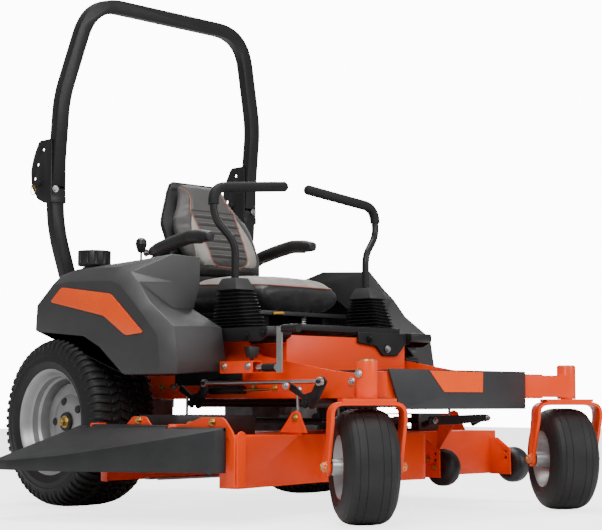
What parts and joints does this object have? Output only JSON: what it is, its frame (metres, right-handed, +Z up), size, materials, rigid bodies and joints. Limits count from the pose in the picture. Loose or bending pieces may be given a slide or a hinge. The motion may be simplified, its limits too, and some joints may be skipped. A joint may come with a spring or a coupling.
{
  "type": "zero turn mower",
  "caption": "Ride-on zero turn mower with two drive levers, folding roll bar, high-back seat, caster front wheels and a belt-driven side-discharge deck.",
  "frame": {"origin": "middle of the footprint, on the ground", "axes": "+Z up, -Y is the direction of travel, +X is the operator left, so the side discharge is at -X"},
  "size_m": [1.772, 2.0521, 1.8388],
  "materials": {
    "orange_paint": "powder coat, semi-gloss orange",
    "orange_plastic": "gloss orange moulding",
    "black_paint": "satin black powder coat",
    "charcoal_plastic": "grained charcoal moulding",
    "charcoal_paint": "satin charcoal powder coat",
    "black_plastic": "matt black moulding",
    "black_rubber": "matt black rubber",
    "seat_vinyl": "grey seat covers in two shades, dark grey centre",
    "armrest_vinyl": "black padded skin",
    "lever_foam": "black tube with a foam grip",
    "zinc_steel": "zinc plated",
    "blade_steel": "bare steel",
    "cast_alloy": "cast alloy, partly painted",
    "muffler_steel": "heat stained steel",
    "tyre_rubber": "black tyre rubber",
    "silver_rim": "silver painted rim"
  },
  "bodies": {
    "chassis": {"right_frame_rail": "orange_paint", "left_frame_rail": "orange_paint", "front_beam": "orange_paint", "rear_frame": "black_paint", "seat_wall": "orange_paint", "foot_platform": "charcoal_paint", "console_covers": "black_plastic", "right_fender": "charcoal_plastic", "left_fender": "charcoal_plastic", "fender_trims": "orange_plastic", "fuel_tank": "black_plastic", "battery": "black_plastic", "rops_posts": "black_paint", "engine_block": "cast_alloy", "engine_shroud": "black_plastic", "muffler": "muffler_steel", "transaxles": "cast_alloy", "lever_bellows": "black_rubber"},
    "roll_bar": {"rops_hoop": "black_paint"},
    "seat_tray": {"seat_platform": "black_paint"},
    "seat": {"seat_shell": "black_plastic", "seat_cushion": "seat_vinyl", "seat_back": "seat_vinyl"},
    "right_arm": {"right_armrest": "armrest_vinyl"},
    "left_arm": {"left_armrest": "armrest_vinyl"},
    "right_lever_post": {"right_lever_base": "charcoal_plastic"},
    "right_drive_lever": {"right_lever": "lever_foam"},
    "left_lever_post": {"left_lever_base": "charcoal_plastic"},
    "left_drive_lever": {"left_lever": "lever_foam"},
    "deck": {"deck_shell": "orange_paint", "belt_covers": "black_paint", "spindle_housings": "cast_alloy", "deck_belt": "black_rubber", "deck_hangers": "zinc_steel", "chute_hinge": "orange_paint"},
    "chute": {"chute_deflector": "black_rubber"},
    "inner_roller_wheel": {"inner_roller": "black_plastic"},
    "outer_roller_wheel": {"outer_roller": "black_plastic"},
    "right_spindle": {"right_blade": "blade_steel"},
    "centre_spindle": {"centre_blade": "blade_steel"},
    "left_spindle": {"left_blade": "blade_steel"},
    "clutch": {"clutch_pulley": "blade_steel"},
    "right_rear_wheel": {"right_rear_tyre": "tyre_rubber", "right_rear_rim": "silver_rim"},
    "left_rear_wheel": {"left_rear_tyre": "tyre_rubber", "left_rear_rim": "silver_rim"},
    "right_caster": {"right_fork": "orange_paint"},
    "right_caster_wheel": {"right_caster_tyre": "tyre_rubber", "right_caster_rim": "silver_rim"},
    "left_caster": {"left_fork": "orange_paint"},
    "left_caster_wheel": {"left_caster_tyre": "tyre_rubber", "left_caster_rim": "silver_rim"},
    "front_crank": {"front_lift_arms": "black_paint"},
    "rear_crank": {"rear_lift_arms": "black_paint"},
    "link_rod": {"lift_rod": "zinc_steel"},
    "pedal": {"lift_pedal": "black_paint"},
    "throttle": {"throttle_lever": "black_plastic"},
    "height_pin": {"height_knob": "black_plastic"},
    "side_arm": {"side_lever": "zinc_steel"},
    "tank_cap": {"fuel_cap": "black_plastic"}
  },
  "joints": [
    {"name": "roll_bar_fold", "type": "hinge", "parent": "chassis", "child": "roll_bar", "pos_m": [0.154, 0.718, 1.138], "axis": [-1, 0, 0], "range_deg": [0, 110]},
    {"name": "seat_tilt", "type": "hinge", "parent": "chassis", "child": "seat_tray", "pos_m": [0.154, -0.35, 0.592], "axis": [1, 0, 0], "range_deg": [0, 20]},
    {"name": "seat_slide", "type": "slide", "parent": "seat_tray", "child": "seat", "axis": [0, -1, 0], "range_m": [-0.05, 0.07]},
    {"name": "right_armrest_fold", "type": "hinge", "parent": "seat", "child": "right_arm", "pos_m": [-0.091, 0.375, 0.878], "axis": [-1, 0, 0], "range_deg": [0, 80]},
    {"name": "left_armrest_fold", "type": "hinge", "parent": "seat", "child": "left_arm", "pos_m": [0.399, 0.375, 0.878], "axis": [-1, 0, 0], "range_deg": [0, 80]},
    {"name": "right_lever_drive", "type": "hinge", "parent": "chassis", "child": "right_lever_post", "pos_m": [-0.156, -0.145, 0.556], "axis": [1, 0, 0], "range_deg": [-12, 14], "deforming": ["lever_bellows"]},
    {"name": "right_lever_swing", "type": "hinge", "parent": "right_lever_post", "child": "right_drive_lever", "pos_m": [-0.156, -0.145, 0.76], "axis": [0, -1, 0], "range_deg": [0, 35]},
    {"name": "left_lever_drive", "type": "hinge", "parent": "chassis", "child": "left_lever_post", "pos_m": [0.464, -0.145, 0.556], "axis": [1, 0, 0], "range_deg": [-12, 14], "deforming": ["lever_bellows"]},
    {"name": "left_lever_swing", "type": "hinge", "parent": "left_lever_post", "child": "left_drive_lever", "pos_m": [0.464, -0.145, 0.76], "axis": [0, 1, 0], "range_deg": [0, 35]},
    {"name": "deck_lift", "type": "slide", "parent": "chassis", "child": "deck", "axis": [0, 0, 1], "range_m": [-0.06, 0.015]},
    {"name": "chute_lift", "type": "hinge", "parent": "deck", "child": "chute", "pos_m": [-0.562, -0.11, 0.27], "axis": [0, 1, 0], "range_deg": [0, 80]},
    {"name": "inner_roller_spin", "type": "hinge", "parent": "deck", "child": "inner_roller_wheel", "pos_m": [0.468, -0.5, 0.131], "axis": [1, 0, 0], "continuous": true},
    {"name": "outer_roller_spin", "type": "hinge", "parent": "deck", "child": "outer_roller_wheel", "pos_m": [0.844, -0.5, 0.131], "axis": [1, 0, 0], "continuous": true},
    {"name": "clutch_spin", "type": "hinge", "parent": "chassis", "child": "clutch", "pos_m": [0.154, 0.65, 0.286], "axis": [0, 0, 1], "continuous": true},
    {"name": "right_spindle_spin", "type": "hinge", "parent": "deck", "child": "right_spindle", "pos_m": [-0.288, -0.172, 0.2], "axis": [0, 0, 1], "continuous": true},
    {"name": "centre_spindle_spin", "type": "hinge", "parent": "deck", "child": "centre_spindle", "pos_m": [0.154, -0.33, 0.2], "axis": [0, 0, 1], "continuous": true},
    {"name": "left_spindle_spin", "type": "hinge", "parent": "deck", "child": "left_spindle", "pos_m": [0.596, -0.172, 0.2], "axis": [0, 0, 1], "continuous": true},
    {"name": "right_rear_wheel_spin", "type": "hinge", "parent": "chassis", "child": "right_rear_wheel", "pos_m": [-0.387, 0.39, 0.284], "axis": [1, 0, 0], "continuous": true},
    {"name": "right_caster_swivel", "type": "hinge", "parent": "chassis", "child": "right_caster", "pos_m": [-0.318, -0.896, 0.4], "axis": [0, 0, 1], "continuous": true},
    {"name": "right_caster_spin", "type": "hinge", "parent": "right_caster", "child": "right_caster_wheel", "pos_m": [-0.29284, -0.85869, 0.165], "axis": [0.829, -0.5592, 0], "continuous": true},
    {"name": "left_rear_wheel_spin", "type": "hinge", "parent": "chassis", "child": "left_rear_wheel", "pos_m": [0.695, 0.39, 0.284], "axis": [1, 0, 0], "continuous": true},
    {"name": "left_caster_swivel", "type": "hinge", "parent": "chassis", "child": "left_caster", "pos_m": [0.626, -0.896, 0.4], "axis": [0, 0, 1], "continuous": true},
    {"name": "left_caster_spin", "type": "hinge", "parent": "left_caster", "child": "left_caster_wheel", "pos_m": [0.65116, -0.85869, 0.165], "axis": [0.829, -0.5592, 0], "continuous": true},
    {"name": "front_crank_turn", "type": "hinge", "parent": "chassis", "child": "front_crank", "pos_m": [0.154, -0.582, 0.347], "axis": [1, 0, 0], "range_deg": [-39.17, 9.87]},
    {"name": "rear_crank_turn", "type": "hinge", "parent": "chassis", "child": "rear_crank", "pos_m": [0.154, -0.05, 0.347], "axis": [1, 0, 0], "range_deg": [-39.17, 9.87]},
    {"name": "link_rod_swing", "type": "hinge", "parent": "front_crank", "child": "link_rod", "pos_m": [-0.244, -0.63, 0.411], "axis": [1, 0, 0], "range_deg": [-9.87, 39.17]},
    {"name": "pedal_turn", "type": "hinge", "parent": "chassis", "child": "pedal", "pos_m": [0.548, -0.31, 0.498], "axis": [1, 0, 0], "range_deg": [-5.5, 21]},
    {"name": "throttle_turn", "type": "hinge", "parent": "chassis", "child": "throttle", "pos_m": [-0.218, 0.276, 0.425], "axis": [1, 0, 0], "range_deg": [-6, 8]},
    {"name": "height_pin_pull", "type": "slide", "parent": "chassis", "child": "height_pin", "axis": [0, 0, 1], "range_m": [0, 0.02]},
    {"name": "side_lever_swing", "type": "hinge", "parent": "chassis", "child": "side_arm", "pos_m": [-0.266, -0.41, 0.456], "axis": [0, -1, 0], "range_deg": [0, 40]},
    {"name": "fuel_cap_turn", "type": "hinge", "parent": "chassis", "child": "tank_cap", "pos_m": [-0.381, 0.324, 0.84], "axis": [0, 0, 1], "continuous": true}
  ],
  "couplings": [
    {"joint": "right_spindle_spin", "follows": "clutch_spin", "ratio": 1.0769},
    {"joint": "centre_spindle_spin", "follows": "clutch_spin", "ratio": 1.0769},
    {"joint": "left_spindle_spin", "follows": "clutch_spin", "ratio": 1.0769},
    {"joint": "front_crank_turn", "follows": "deck_lift", "rad_per_m": 11.364},
    {"joint": "rear_crank_turn", "follows": "deck_lift", "rad_per_m": 11.364},
    {"joint": "link_rod_swing", "follows": "deck_lift", "rad_per_m": -11.364},
    {"joint": "pedal_turn", "follows": "deck_lift", "rad_per_m": -6}
  ]
}
